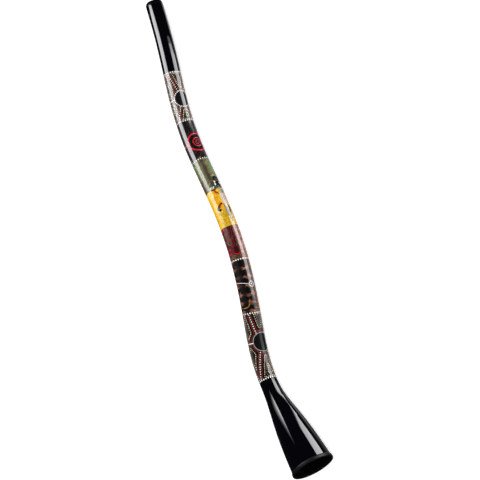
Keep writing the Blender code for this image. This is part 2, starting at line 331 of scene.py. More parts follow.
class Recipe:
    """A material being mixed: a Principled shader and the nodes that feed it."""

    def __init__(self, name, colour, roughness, specular=0.5, coat=0.0):
        self.material = bpy.data.materials.new(name)
        self.material.use_nodes = True
        self.tree = self.material.node_tree
        self.shader = self.tree.nodes["Principled BSDF"]
        self.set("Base Color", srgb(*colour))
        self.set("Roughness", roughness)
        self.set("Specular IOR Level", specular)
        self.set("Coat Weight", coat)
        self.straight = self.add("ShaderNodeAttribute", {}, attribute_name="straight").outputs["Vector"]

    def add(self, kind, inputs, **settings):
        """A new node with these inputs and settings."""
        node = self.tree.nodes.new(kind)
        for key, value in settings.items():
            setattr(node, key, value)
        for key, value in inputs.items():
            self.feed(node.inputs[key], value)
        return node

    def feed(self, socket, value):
        """Gives an input a plain value or another node's output."""
        if isinstance(value, bpy.types.NodeSocket):
            self.tree.links.new(value, socket)
        else:
            socket.default_value = value

    def set(self, name, value):
        self.feed(self.shader.inputs[name], value)

    def coloured(self, colour):
        """The finished material, with this for its colour."""
        self.set("Base Color", colour)
        return self.material

    def stretched(self, size, around):
        """Coordinates in which a pattern of size 1 is size long and size * around wide."""
        scale = (1 / size, 1 / (size * around), 1 / (size * around))
        return self.add("ShaderNodeVectorMath", {0: self.straight, 1: scale}, operation="MULTIPLY").outputs[0]

    def noise(self, size, detail=3.0, around=1.0, warp=0.0):
        inputs = {"Vector": self.stretched(size, around), "Scale": 1, "Detail": detail, "Distortion": warp}
        return self.add("ShaderNodeTexNoise", inputs).outputs["Fac"]

    def threads(self, size, axis):
        """Straight bands across an axis."""
        inputs = {"Vector": self.stretched(size, 1), "Scale": 1}
        return self.add("ShaderNodeTexWave", inputs, wave_type="BANDS", bands_direction=axis).outputs["Color"]

    def ramp(self, value, *stops):
        """Colours for rising values. A stop is a position followed by what srgb() takes."""
        node = self.add("ShaderNodeValToRGB", {"Fac": value})
        elements = node.color_ramp.elements
        while len(elements) < len(stops):
            elements.new(0.5)
        for element, (position, *colour) in zip(elements, stops):
            element.position = position
            element.color = srgb(*colour)
        return node.outputs["Color"]

    def spread(self, value, low, high, to_low=0, to_high=1):
        """A value between low and high, spread over to_low to to_high."""
        inputs = dict(enumerate((value, low, high, to_low, to_high)))
        return self.add("ShaderNodeMapRange", inputs).outputs["Result"]

    def math(self, operation, a, b=0.0):
        return self.add("ShaderNodeMath", {0: a, 1: b}, operation=operation).outputs[0]

    def coordinate(self, axis):
        """X runs along the tube; Z runs from the viewer's left edge of it to the right edge."""
        return self.add("ShaderNodeSeparateXYZ", {0: self.straight}).outputs[axis]

    def side(self):
        """0 at the viewer's left edge of the tube, 1 at the right edge."""
        return self.spread(self.coordinate("Z"), -TUBE_RADIUS, TUBE_RADIUS)

    def mix(self, share, a, b, how="MIX"):
        """Colour a turned into colour b by a share of 0 to 1."""
        inputs = {0: share, 6: a, 7: b}
        return self.add("ShaderNodeMix", inputs, data_type="RGBA", blend_type=how).outputs[2]

    def bump(self, height, depth, coat_too=False):
        """Relief that is depth millimetres deep."""
        inputs = {"Height": height, "Strength": 1, "Distance": depth * MM}
        normal = self.add("ShaderNodeBump", inputs).outputs["Normal"]
        self.set("Normal", normal)
        if coat_too:
            self.set("Coat Normal", normal)


def gelcoat():
    """Polished black gelcoat: deep gloss with a trace of orange peel and of polishing marks."""
    recipe = Recipe("black_gelcoat", (3, 3, 6), 0.3, specular=0.0, coat=1.0)
    recipe.set("Coat Roughness", recipe.spread(recipe.noise(9, 6, 0.4), 0.35, 0.75, 0.01, 0.05))
    recipe.bump(recipe.noise(14, 1.5), 0.03, coat_too=True)
    return recipe.material


def laminate():
    """The inside of the shells: black resin over chopped glass strands."""
    recipe = Recipe("laminate_inside", (5, 5, 5), 0.6, specular=0.2)
    strands = recipe.noise(2.2, 5, 0.25, warp=2.5)
    recipe.set("Roughness", recipe.spread(strands, 0.3, 0.7, 0.45, 0.75))
    recipe.bump(strands, 0.35)
    return recipe.coloured(recipe.ramp(strands, (0.35, 2, 2, 2), (0.8, 13, 13, 14)))


def seam_glass():
    """Woven glass tape, wetted out with black resin."""
    recipe = Recipe("glass_tape", (20, 20, 20), 0.5)
    weave = recipe.mix(0.5, recipe.threads(6, "X"), recipe.threads(6, "Z"), "MULTIPLY")
    recipe.bump(weave, 0.2)
    return recipe.coloured(recipe.mix(weave, srgb(5, 5, 5), srgb(24, 24, 23)))


def mouth_black():
    """The mouthpiece: cast resin, buffed a little softer than the tube."""
    recipe = Recipe("mouthpiece_black", (5, 5, 7), 0.3, specular=0.05, coat=1.0)
    recipe.set("Coat Roughness", recipe.spread(recipe.noise(3, 5, 3), 0.35, 0.7, 0.03, 0.08))
    recipe.bump(recipe.noise(10, 2), 0.04, coat_too=True)
    return recipe.material


def rubber():
    """Satin black rubber with a fine moulded grain."""
    recipe = Recipe("black_rubber", (9, 9, 10), 0.5, specular=0.35)
    grain = recipe.noise(0.7, 4)
    recipe.set("Roughness", recipe.spread(grain, 0.3, 0.7, 0.38, 0.6))
    recipe.bump(grain, 0.06)
    return recipe.coloured(recipe.ramp(recipe.noise(12, 4), (0.3, 6, 6, 7), (0.75, 13, 13, 14)))


def lacquered(name, colour):
    """Print or paint under clear lacquer."""
    return Recipe(name, colour, 0.5, specular=0.1, coat=1.0)


def dark_ground(name, size, dark, brown, edge):
    """Nearly black, with brown patches of a size where the brush ran dry, and paler at both edges."""
    recipe = lacquered(name, (12, 10, 10))
    patches = recipe.ramp(
        recipe.noise(size, 6, 0.8, warp=1.2), (0.45, *dark), (0.6, *brown, 0.35), (0.76, *brown))
    edges = recipe.ramp(recipe.side(), (0.0, *edge), (0.2, 0, 0, 0), (0.82, 0, 0, 0), (0.97, *edge))
    return recipe.coloured(recipe.mix(1.0, patches, edges, "ADD"))


def green_ground(name):
    """Olive on the left, dark in the middle and leaf green on the right, streaked by the brush."""
    recipe = lacquered(name, (90, 105, 55))
    across = recipe.ramp(
        recipe.side(), (0.0, 100, 112, 66), (0.3, 102, 108, 70), (0.43, 104, 98, 74), (0.53, 62, 62, 42),
        (0.64, 62, 64, 42), (0.74, 98, 106, 62), (0.95, 118, 140, 92))
    streaks = recipe.noise(4, 7, 2.6, warp=1.0)
    return recipe.coloured(recipe.mix(recipe.spread(streaks, 0.42, 0.68, 0, 0.6), across, srgb(40, 48, 28)))


def yellow_ground(name):
    """Golden yellow on the left; lemon on the right, with an olive stipple that is denser by the bell."""
    recipe = lacquered(name, (250, 190, 10))
    golden = recipe.ramp(
        recipe.noise(11, 6, 1.2, warp=1.2), (0.36, 232, 168, 0), (0.52, 248, 188, 0), (0.68, 254, 202, 4))
    lemon = recipe.ramp(
        recipe.noise(8, 6, 1.4, warp=1.2), (0.36, 192, 144, 8), (0.52, 216, 178, 16),
        (0.68, 236, 204, 34))
    olive_wash = recipe.spread(recipe.noise(16, 2, 3), 0.52, 0.62, 0, 0.55)
    golden = recipe.mix(olive_wash, golden, srgb(206, 176, 40))
    yellow = recipe.mix(recipe.spread(recipe.side(), 0.12, 0.22), golden, lemon)
    yellow = recipe.mix(recipe.spread(recipe.side(), 0.82, 0.93, 0, 0.85), yellow, srgb(246, 224, 140))
    density = recipe.math("MULTIPLY", recipe.spread(recipe.coordinate("X"), 640, 690, 0.25, 0.9),
                          recipe.spread(recipe.side(), 0.25, 0.4, 0.2, 1))
    stipple = recipe.math("MULTIPLY", recipe.spread(recipe.noise(1.5, 3), 0.47, 0.58), density)
    return recipe.coloured(recipe.mix(stipple, yellow, srgb(140, 104, 10)))


def maroon_ground(name):
    """Blood red at the sides and nearly black in the middle, in bands that run round the tube."""
    recipe = lacquered(name, (74, 12, 20))
    across = recipe.ramp(
        recipe.side(), (0.0, 104, 8, 26), (0.3, 92, 6, 20), (0.42, 40, 0, 4), (0.6, 52, 0, 6),
        (0.74, 124, 60, 46), (1.0, 182, 136, 120))
    bands = recipe.noise(9, 5, 3.5, warp=0.8)
    return recipe.coloured(recipe.mix(recipe.spread(bands, 0.46, 0.62, 0, 0.7), across, srgb(46, 6, 12)))


def brown_ground(name):
    """Black with tan and red-brown bands that run round the tube and break off along the middle."""
    recipe = lacquered(name, (40, 26, 20))
    drift = recipe.math("MULTIPLY", recipe.noise(15, 4, 1.2, warp=0.8), 26)
    band_pitch = 24.5
    turns = recipe.math("MULTIPLY", recipe.math("ADD", recipe.coordinate("X"), drift), 2 * pi / band_pitch)
    bands = recipe.spread(recipe.math("SINE", turns), -0.1, 0.9, 0, 0.9)
    middle = recipe.math("ABSOLUTE", recipe.math("SUBTRACT", recipe.side(), 0.34))
    middle = recipe.math("ADD", middle, recipe.math("MULTIPLY", recipe.noise(10, 2), 0.12))
    bands = recipe.math("MULTIPLY", bands, recipe.spread(middle, 0.15, 0.29, 0.05, 1))
    light = recipe.ramp(
        recipe.noise(9, 5, 1.4), (0.40, 96, 46, 34), (0.52, 134, 86, 66), (0.62, 176, 130, 102))
    gaps = recipe.ramp(
        recipe.side(), (0.0, 34, 22, 16), (0.16, 8, 5, 5), (0.8, 8, 5, 5), (0.97, 112, 92, 84))
    return recipe.coloured(recipe.mix(bands, gaps, light))


def paint(name):
    """Paint of one colour under the same lacquer, a little darker where it lies thin."""
    colour = PAINTS[name]
    thin = 1 - UNEVENNESS.get(name, 0.25)
    recipe = lacquered("paint_" + name, colour)
    return recipe.coloured(recipe.ramp(recipe.noise(2.4, 5), (0.32, *colour, thin), (0.66, *colour)))


MIXED = {name: paint(name) for name in PAINTS}
DOTWORK_GROUND = (dark_ground, 6, (5, 4, 4), (30, 18, 14), (92, 82, 74))
GROUNDS = {  # the function that mixes each, and what it takes after the name
    "upper_dotwork": DOTWORK_GROUND,
    "dark_brown": (dark_ground, 10, (9, 8, 8), (70, 50, 42), (58, 50, 46)),
    "green_field": (green_ground,),
    "yellow_field": (yellow_ground,),
    "maroon_field": (maroon_ground,),
    "brown_field": (brown_ground,),
    "lower_dotwork": DOTWORK_GROUND,
}


def slot_of(field):
    """The name of the slot, and of the ground's material, of a field."""
    return "print_" + field.removesuffix("_field")


# --- paintwork ---

class Paintwork:
    """Dots, patches and strokes of one paint. They are laid out flat, as places (x, t), and each becomes
    a thin slab that follows the tube, with its underside sunk in the lacquer."""

    def __init__(self, field, name, colour, coat):
        self.field, self.name, self.colour = field, name, colour
        self.lift = coat * LEVEL
        self.places = []
        self.faces = []

    def slab(self, top, faces, outline):
        """Adds a slab: top holds (x, t, height) rows, and outline runs round its edge."""
        start, size = len(self.places), len(top)
        self.places += [(x, t, self.lift + h) for x, t, h in top]
        self.places += [(x, t, -SUNK) for x, t, _ in top]
        self.faces += [[start + i for i in face] for face in faces]
        self.faces += [[start + size + i for i in face[::-1]] for face in faces]
        for a, b in zip(outline, outline[1:] + outline[:1]):
            self.faces.append([start + b, start + a, start + size + a, start + size + b])

    def patch(self, edge, rings):
        """A filled shape with a rounded edge. The edge's points can all be seen from its middle."""
        edge = np.asarray(edge, float)
        middle = edge.mean(0)
        scales = [1.0] + list(np.linspace(0.93 if rings > 2 else 0.78, 0, rings, endpoint=False))
        top = []
        for scale in scales:
            height = PAINT * (0.35 if scale == 1 else 1.0)
            top += [(*(middle + (point - middle) * scale), height) for point in edge]
        top.append((*middle, PAINT))
        grid = np.arange(len(top) - 1).reshape(len(scales), len(edge))
        grid = np.pad(grid, ((0, 0), (0, 1)), "wrap")
        last = grid[-1].tolist()
        faces = quads(grid) + [[a, b, len(top) - 1] for a, b in zip(last, last[1:])]
        self.slab(top, faces, list(range(len(edge))))

    def dot(self, x, t, radius):
        self.patch(circle(x, t, radius, 12), rings=1)

    def disc(self, x, t, radius):
        self.patch(circle(x, t, radius, 72), rings=max(3, ceil(radius / 2.5)))

    def dots(self, points, radius, rng, wobble):
        """A dot at each point, as even as a steady hand makes them."""
        for x, t in points:
            size = radius * (1 + wobble * rng.uniform(-0.5, 0.5))
            dx, dt = rng.uniform(-wobble, wobble, 2)
            self.dot(x + dx, t + dt, size)

    def border(self, x, rng):
        """A row of dots round the tube at x."""
        count = round(ROUND / BORDER_PITCH)
        self.dots([(x, ROUND * i / count - FAR_SIDE) for i in range(count)], BORDER_DOT, rng, 0.12)

    def stroke(self, points, width, taper=0.0):
        """A brush stroke along a smooth path. taper is the share of its length that thins at each end."""
        path = resample(smooth(points), 1.6)
        count = len(path)
        ahead = np.gradient(path, axis=0)
        ahead /= np.linalg.norm(ahead, axis=1)[:, None] + 1e-9
        side = np.stack([-ahead[:, 1], ahead[:, 0]], 1)
        along = np.linspace(0, 1, count)
        ends = np.minimum(along, 1 - along)
        if taper:
            half = width / 2 * (0.12 + 0.88 * np.sqrt(np.clip(ends / taper, 0, 1)))
        else:
            half = np.full(count, width / 2)
            half[[0, -1]] *= 0.6
        columns = ((-1.0, 0.35), (-0.72, 1.0), (0.0, 1.1), (0.72, 1.0), (1.0, 0.35))
        top = []
        for i in range(count):
            fade = 1.0 if 0 < i < count - 1 else 0.35
            for share, height in columns:
                point = path[i] + side[i] * half[i] * share
                top.append((point[0], point[1], PAINT * min(height, fade)))
        grid = np.arange(len(top)).reshape(count, len(columns))
        outline = np.concatenate([grid[0], grid[1:, -1], grid[-1, -2::-1], grid[-2:0:-1, 0]])
        self.slab(top, quads(grid), outline.tolist())

    def twice(self, points, width, taper=0.0):
        """The same stroke on the side that faces the viewer and on the far side."""
        for shift in (0, FAR_SIDE):
            self.stroke([(x, t + shift) for x, t in points], width, taper)

    def piece(self):
        """Makes the piece, if anything was painted."""
        if not self.places:
            return
        x, t, height = np.array(self.places).T
        places = np.stack([x, outer_radius(x) + height, np.degrees(t / TUBE_RADIUS)], 1)
        new_piece(f"{self.field}_{self.name}", places, self.faces, [MIXED[self.colour]])


PAINTED = []  # every Paintwork that was begun


def brushes(field, *rows):
    """A new Paintwork for each row of name, colour and coat."""
    works = [Paintwork(field, *row) for row in rows]
    PAINTED.extend(works)
    return works


def smooth(points):
    """A Catmull-Rom curve through a few points."""
    points = np.asarray(points, float)
    if len(points) < 3:
        return points
    padded = np.vstack([2 * points[0] - points[1], points, 2 * points[-1] - points[-2]])
    path = []
    u = np.linspace(0, 1, 12, endpoint=False)[:, None]
    for a, b, c, d in zip(padded, padded[1:], padded[2:], padded[3:]):
        path.append(0.5 * (2 * b + (c - a) * u + (2 * a - 5 * b + 4 * c - d) * u ** 2
                           + (3 * b - a - 3 * c + d) * u ** 3))
    return np.vstack(path + [points[-1:]])


def resample(path, step, closed=False):
    """The same path with points about step apart."""
    path = np.asarray(path, float)
    if closed:
        path = np.vstack([path, path[:1]])
    lengths = np.concatenate([[0], np.cumsum(np.linalg.norm(np.diff(path, axis=0), axis=1))])
    count = max(2, round(lengths[-1] / step))
    marks = np.linspace(0, lengths[-1], count + (0 if closed else 1), endpoint=not closed)
    return np.stack([np.interp(marks, lengths, path[:, i]) for i in (0, 1)], 1)


def circle(x, t, radius, count, closed=False):
    """Points round a circle. A closed one has its first point again at the end."""
    angles = np.arange(count + closed) * 2 * pi / count
    return np.stack([x + radius * np.cos(angles), t + radius * np.sin(angles)], 1)


def distance_to_line(x, t, start, end):
    """How far places are from a straight line between two places."""
    (x0, t0), (x1, t1) = start, end
    length = (x1 - x0) ** 2 + (t1 - t0) ** 2
    share = np.clip(((x - x0) * (x1 - x0) + (t - t0) * (t1 - t0)) / length, 0, 1)
    return np.hypot(x - x0 - share * (x1 - x0), t - t0 - share * (t1 - t0))


class Dotwork:
    """A field of dots in rows that echo a black disc, the tracks that leave it and the field's ends.
    The disc and its tracks come back on the far side of the tube."""

    RED_LINE = 4.9  # how far the red line keeps from the disc and the tracks
    END_CLEARANCE = 7  # how much closer to the field's ends than to the tracks the dots come

    def __init__(self, field, disc, radius, left_track, right_track, first_row):
        self.field = field
        self.start, self.end = FIELDS[field]
        self.disc, self.radius, self.first_row = disc, radius, first_row
        mirrored = [[(x, 2 * disc[1] - t) for x, t in track] for track in (left_track, right_track)]
        self.tracks = [left_track, right_track] + mirrored
        self.link = ((disc[0], disc[1] - FAR_SIDE + radius), (disc[0], disc[1] - radius))

    def distance(self, x, t, with_ends):
        """How far a place is from the nearest disc, track or end of the field."""
        nearest = np.full(np.shape(x), 1e3)
        for turn in (-2, -1, 0, 1, 2):
            shifted = t - turn * FAR_SIDE
            nearest = np.minimum(nearest, np.hypot(x - self.disc[0], shifted - self.disc[1]) - self.radius)
            for start, end in self.tracks + [self.link]:
                nearest = np.minimum(nearest, distance_to_line(x, shifted, start, end))
        if with_ends:
            border = self.first_row - self.END_CLEARANCE
            nearest = np.minimum(nearest, np.minimum(x - self.start, self.end - x) + border)
        return nearest

    def contour(self, middle, level, with_ends):
        """The closed line at one distance, found by walking out from the middle of a cell."""
        angles = np.radians(np.arange(0, 360, 3))
        walk = np.arange(0, 80, 0.25)
        x = middle[0] + np.cos(angles)[:, None] * walk
        t = middle[1] + np.sin(angles)[:, None] * walk
        stop = self.distance(x, t, with_ends) < level
        stop |= (x < self.start + 3) | (x > self.end - 3)
        first = np.argmax(stop, axis=1)
        rows = np.arange(len(angles))
        return np.stack([x[rows, first], t[rows, first]], 1)

    def cells(self):
        """The middle of each area between the tracks, on both sides of the tube."""
        x, t = self.disc
        between = t - FAR_SIDE / 2
        spots = [((self.start + x - self.radius) / 2 - 2, t), ((self.end + x + self.radius) / 2 + 2, t),
                 ((self.start + x) / 2 - 1, between), ((self.end + x) / 2 + 1, between)]
        return [(a, b + shift) for shift in (0, FAR_SIDE) for a, b in spots]

    def red_line(self, middle, red, ember, rng):
        """The beaded line inside a cell, left out along the field's ends."""
        edge = self.contour(middle, self.RED_LINE, with_ends=False)
        inside = (edge[:, 0] > self.start + 4) & (edge[:, 0] < self.end - 4)
        first = int(np.argmin(inside))
        edge, inside = np.roll(edge, -first, 0), np.roll(inside, -first)
        for run in np.split(np.arange(len(edge)), np.where(np.diff(inside.astype(int)))[0] + 1):
            if inside[run[0]] and len(run) > 4:
                red.stroke(edge[run], 2.6)
                ember.dots(resample(edge[run], 5.4), 1.6, rng, 0.15)

    def rows(self, middle, spacing, cream, sand, rng):
        """Rows of dots from a cell's edge to its middle."""
        deepest = self.distance(*middle, with_ends=True)
        for row, level in enumerate(np.arange(self.first_row, deepest - 0.6, spacing)):
            line = resample(self.contour(middle, level, with_ends=True), spacing + 1, closed=True)
            brush = sand if row % 3 == 1 else cream
            brush.dots(line, 1.25 if row % 2 else 1.5, rng, 0.4)

    def build(self, beaded, spacing, glow):
        """beaded: the disc's edge is a ring of dots, not a thin line. spacing: between rows of dots.
        glow: the paint of the dots on the red line."""
        rng = np.random.default_rng(11 + self.start)
        black, white, silver, red, ember, cream, sand = brushes(
            self.field, ("discs", "black", 0), ("white", "white", 2), ("silver_ring", "silver_grey", 2),
            ("red_lines", "oxide_red", 1), ("ember_dots", glow, 2), ("cream_dots", "cream", 1),
            ("sand_dots", "sand", 1))
        for shift in (0, FAR_SIDE):
            x, t = self.disc[0], self.disc[1] + shift
            black.disc(x, t, self.radius - 1)
            if beaded:
                white.dots(circle(x, t, self.radius, 29), 1.7, rng, 0.12)
            else:
                silver.stroke(circle(x, t, self.radius, 43, closed=True), 1.5)
            for track in self.tracks:
                white.dots(resample([(a, b + shift) for a, b in track], 6.7), 1.6, rng, 0.15)
        white.twice(self.link, 2.4)
        for x in (self.start + 2.4, self.end - 2.4):
            white.border(x, rng)
        for middle in self.cells():
            self.red_line(middle, red, ember, rng)
            self.rows(middle, spacing, cream, sand, rng)


# --- the painted fields ---

def paint_dotwork():
    """The two fields of dots: a beaded disc near the mouth, a ringed one near the bell."""
    upper = Dotwork("upper_dotwork", (310, 15.5), 25.2, ((232, -11.5), (285, 5.5)),
                    ((335, 1.5), (377, -14)), first_row=10.4)
    upper.build(beaded=True, spacing=4.4, glow="rust")
    lower = Dotwork("lower_dotwork", (1061, 17.8), 27.4, ((982, -8), (1034, 3)),
                    ((1091, 4), (1164, -18)), first_row=13)
    lower.build(beaded=False, spacing=5.1, glow="ember")


def paint_dark_brown():
    """A roundel of red dots on nearly black, with a grey line that runs round the tube from it."""
    rng = np.random.default_rng(21)
    start, end = FIELDS["dark_brown"]
    white, grey, red, gold, brown, rust, black = brushes(
        "dark_brown", ("white_dots", "white", 2), ("grey_line", "silver_grey", 1),
        ("red_roundel", "red", 2), ("gold_strokes", "gold", 1), ("brush_marks", "umber", 0),
        ("rust_strokes", "oxide_red", 0), ("black_discs", "black", 1))
    white.border(end - 2.2, rng)
    middle = 452.6
    for t in (16.7, 16.7 + FAR_SIDE):
        black.disc(middle, t, 27.5)
        for radius, count, size in ((28, 50, 2.15), (13.5, 20, 1.8), (6, 9, 1.6)):
            red.dots(circle(middle, t, radius, count), size, rng, 0.08)
        grey.stroke([(453, t - 52), (453.4, t - 42), (452.8, t - 31)], 1.7)
        gold.stroke([(496, t - 60), (498, t - 50), (500, t - 38)], 2.2, 0.2)
        gold.stroke([(506, t - 19), (503, t - 14), (500.5, t - 9)], 2.4, 0.3)
        for x in (475, 480, 485):
            rust.stroke([(x, t - 49), (x + 1.5, t - 42), (x - 1, t - 35)], 3.4, 0.4)
    for _ in range(44):
        x, t = rng.uniform(start + 6, end - 8), rng.uniform(-FAR_SIDE, FAR_SIDE)
        lean = rng.uniform(-4, 4)
        if not -16 < t < 10:
            brown.stroke([(x, t), (x + lean, t + 4), (x + rng.uniform(-3, 3), t + 8)], 1.3, 0.4)


def paint_green():
    """Brushed greens with a wandering red-brown line and a brown band towards the yellow."""
    rng = np.random.default_rng(31)
    start, end = FIELDS["green_field"]
    olive, light, oxide, brown = brushes(
        "green_field", ("olive_strokes", "olive", 0), ("light_strokes", "leaf_green", 0),
        ("oxide_lines", "clay", 2), ("brown_band", "walnut", 1))
    for x in np.arange(start + 4, end - 4, 4.2):
        for t in np.arange(-FAR_SIDE, FAR_SIDE, 12.5):
            x1, t1 = x + rng.uniform(-1.5, 1.5), t + rng.uniform(-3, 3)
            if -17 < t1 < 8:
                continue
            brush, lean = (light, -4) if t1 > 0 else (olive, 3)
            if start + 2 < x1 + lean < end - 2:
                brush.stroke([(x1, t1), (x1 + lean * 0.4, t1 + 5), (x1 + lean, t1 + 10)],
                             rng.uniform(1.2, 2.0), 0.35)
    oxide.twice([(511, 12), (519, 8), (527, 7), (531, 12), (542, 12), (550, 9), (557, 8), (563, 11),
                 (565, 16), (563, 23), (558, 34)], 2.7, 0.15)
    oxide.twice([(519, 3), (527, 0), (536, -3)], 1.3, 0.15)
    oxide.twice([(548, -3), (555, -7), (563, -6)], 1.3, 0.15)
    oxide.twice([(588, -7), (583.5, 0), (583.5, 6), (586, 10)], 2.7, 0.15)
    oxide.twice([(565, -39), (563.5, -28), (564, -14)], 2.2, 0.15)
    light.twice([(594, -8), (591, -4), (589, 0)], 2.6, 0.3)
    for t in np.arange(-44, -15, 5.0):
        brown.twice([(569, t), (590, t + 1.5), (end - 1.5, t)], 4.6, 0.06)


def paint_yellow():
    """Loose orange strokes, a fan of them near the green, and ochre dots that thicken by the maroon."""
    rng = np.random.default_rng(41)
    start, end = FIELDS["yellow_field"]
    orange, ochre = brushes("yellow_field", ("orange_strokes", "orange", 0), ("ochre_dots", "ochre", 0))
    for x in np.arange(start + 9, end - 8, 13):
        for t in np.arange(-FAR_SIDE, FAR_SIDE, 17):
            x1, t1 = x + rng.uniform(-4, 4), t + rng.uniform(-6, 6)
            orange.stroke([(x1, t1), (x1 + 2.5, t1 + 6), (x1 + 4, t1 + 12)], 1.3, 0.4)
    for x, lean in ((642, -8), (646, -4), (650, 1), (654, 5)):
        orange.stroke([(x, 6), (x + lean * 0.4, -3), (x + lean, -13)], 2.6, 0.35)
    for x in np.arange(start + 8, end - 3, 3.8):
        for t in np.arange(-FAR_SIDE, FAR_SIDE, 4.0):
            if x > start + 62 + 12 * sin(t / 7) and not -30 < t < -13:
                ochre.dot(x + rng.uniform(-0.9, 0.9), t + rng.uniform(-0.9, 0.9), rng.uniform(0.7, 1.15))


def paint_feather_vane():
    """The dark end of a feather, on the green field, with pale and slate barbs."""
    pale, slate, ink = brushes(
        "green_field", ("feather_pale", "white", 3), ("feather_slate", "slate", 3),
        ("feather_ink", "black", 1))
    for t, width in ((15, 8), (20, 8), (26, 7)):
        ink.stroke([(571, t + 1), (588, t - 1), (610, t)], width, 0.12)
    for x in (579, 584, 602, 606):
        slate.stroke([(x, 14), (x + 2, 20), (x + 4, 27)], 1.3, 0.3)
    for x, t in ((589, 11), (597, 10)):
        pale.stroke([(x - 3, t), (x, t + 1.5), (x + 4, t + 1)], 4.0, 0.3)
    pale.stroke([(592, 26), (594, 32), (592, 39)], 5.0, 0.2)
    for t in (-7.5, -2.5, 2.5):
        pale.stroke([(602, t + 2), (606, t), (610, t - 1.5)], 2.3, 0.2)
        ink.stroke([(602, t + 4.5), (606, t + 2.5), (610, t + 1)], 2.0, 0.2)


def paint_feather_plume():
    """The rest of the feather, on the yellow field: a pale plume with rose dashes and a long grey tail;
    beside them a small black leaf edged with red."""
    joint = FIELDS["yellow_field"][0]
    pale, ash, slate, ink, rose, cream = brushes(
        "yellow_field", ("feather_pale", "plume_white", 1), ("feather_ash", "ash", 0),
        ("feather_slate", "slate", 2), ("feather_ink", "black", 2), ("feather_rose", "rose", 3),
        ("feather_cream_dot", "cream", 2))
    ink.stroke([(joint + 1.5, -7), (joint + 1.8, 0), (joint + 1.5, 7)], 2.6, 0.15)
    rose.stroke([(joint + 2.5, 0), (joint + 8, 2), (joint + 14.5, 5)], 6.8, 0.3)
    ink.stroke([(joint + 8, 5), (joint + 13, 7.5), (joint + 17.5, 8.5)], 2.8, 0.3)
    plume = 630
    for x in np.arange(joint + 3, plume, 4.0):
        ash.stroke([(x, 14), (x + 1.5, 24), (x - 1, 38)], 4.6, 0.2)
    middle = 22
    for x in np.arange(plume, 661, 4.0):
        half = 13.5 * (1 - ((x - 644) / 19) ** 2) ** 0.5
        pale.stroke([(x - 1.5, middle - half), (x, middle), (x - 1.5, middle + half)], 4.3, 0.2)
        for share in (-0.75, -0.3, 0.15, 0.6):
            t = middle + half * share
            rose.stroke([(x, t), (x + 0.8, t + half * 0.3)], 1.9, 0.3)
            slate.stroke([(x + 1.8, t - half * 0.1), (x + 2.4, t + half * 0.25)], 1.4, 0.3)
    slate.stroke([(660, 13), (675, 15), (700, 15.5), (718, 17)], 6.0, 0.4)
    ink.stroke([(659, 9.5), (676, 11), (700, 12)], 2.4, 0.3)
    ink.stroke([(662, 22), (675, 24.5), (692, 23)], 7.5, 0.4)
    ink.stroke([(657.5, 7.5), (661, 0.5), (667, -7), (672, -10.5), (676, -8), (675, -1.5)], 6.2, 0.1)
    rose.stroke([(660, 5), (663.5, 0), (670, -4.5)], 4.2, 0.3)
    cream.dot(682.5, -2.3, 2.2)
    cream.dot(678.5, -13, 2.6)


def paint_maroon():
    """Rows of red and olive dots in the dark middle, and brush strokes round the tube on both sides."""
    rng = np.random.default_rng(51)
    start = FIELDS["maroon_field"][0]
    red, olive, dark = brushes(
        "maroon_field", ("red", "crimson", 0), ("olive", "moss", 1), ("dark", "black", 0))
    for t0 in (-42, 28, 62):
        for x in (746, 751, 756, 813, 819):
            olive.stroke([(x, t0 - 2), (x + 1, t0 + 10), (x - 1, t0 + 24)], 1.9, 0.25)
        olive.stroke([(764, t0 + 14), (773, t0 + 20), (782, t0 + 28)], 2.6, 0.25)
        for x in (732, 790, 804):
            red.stroke([(x, t0), (x + 2, t0 + 12), (x + 1, t0 + 26)], 5.4, 0.3)
    for row, t in enumerate(np.arange(-8, 11, 3.2)):
        for x in np.arange(start + 5, 790, 3.7):
            brush = olive if (row + int(x / 11)) % 5 == 0 else red if (row + int(x / 9)) % 2 else dark
            brush.dot(x + rng.uniform(-0.6, 0.6), t + 2 * sin(x / 7) + rng.uniform(-0.5, 0.5),
                      rng.uniform(0.8, 1.25))
    red.stroke([(805, -11), (809.5, 0), (806, 11)], 3.4, 0.3)
    for x in (813.5, 817.5, 821):
        for t in np.arange(-FAR_SIDE, FAR_SIDE, 3.6):
            olive.dot(x - 0.01 * t * t * (abs(t) < 20), t, 1.2)


def paint_brown():
    """A small white ring at the end of a long white line, and a gold hook."""
    white, grey, gold = brushes(
        "brown_field", ("white", "white", 2), ("grey_discs", "slate", 1), ("gold", "gold", 1))
    white.border(FIELDS["brown_field"][0] + 2.3, np.random.default_rng(61))
    white.twice([(885, -50), (886, -38), (890, -16), (895, 4), (896, 9)], 1.2, 0.04)
    ring = 897.6
    for t in (17.9, 17.9 + FAR_SIDE):
        white.stroke(circle(ring, t, 7.6, 16, closed=True), 1.5)
        grey.disc(ring, t, 5.6)
        white.disc(ring, t, 1.7)
    gold.twice([(958, -44), (961, -24), (961, -10), (956, -1.4), (946, 1.8), (938, 2.4)], 1.9, 0.1)
    for x in (945, 960):
        gold.twice([(x + 2, 14), (x + 5, 24), (x, 36)], 3.0, 0.35)


# --- the pieces of the tube ---

def shell_profile():
    """Rows of (x, outside radius, inside radius) for the shells, with the seat that the prints lie in."""
    first, last = PRINT_START - GAP, PRINT_END + GAP
    profile = []
    for x in stations(LIP_LENGTH + GAP, LENGTH - GUARD_WEB - GAP, (first, last)):
        outer, inner = skin(x), skin(x) - WALL
        seat = outer - GAP - WRAP_THICKNESS
        if x == last:
            profile.append((x, seat, inner))
        profile.append((x, seat if first < x < last else outer, inner))
        if x == first:
            profile.append((x, seat, inner))
    return profile


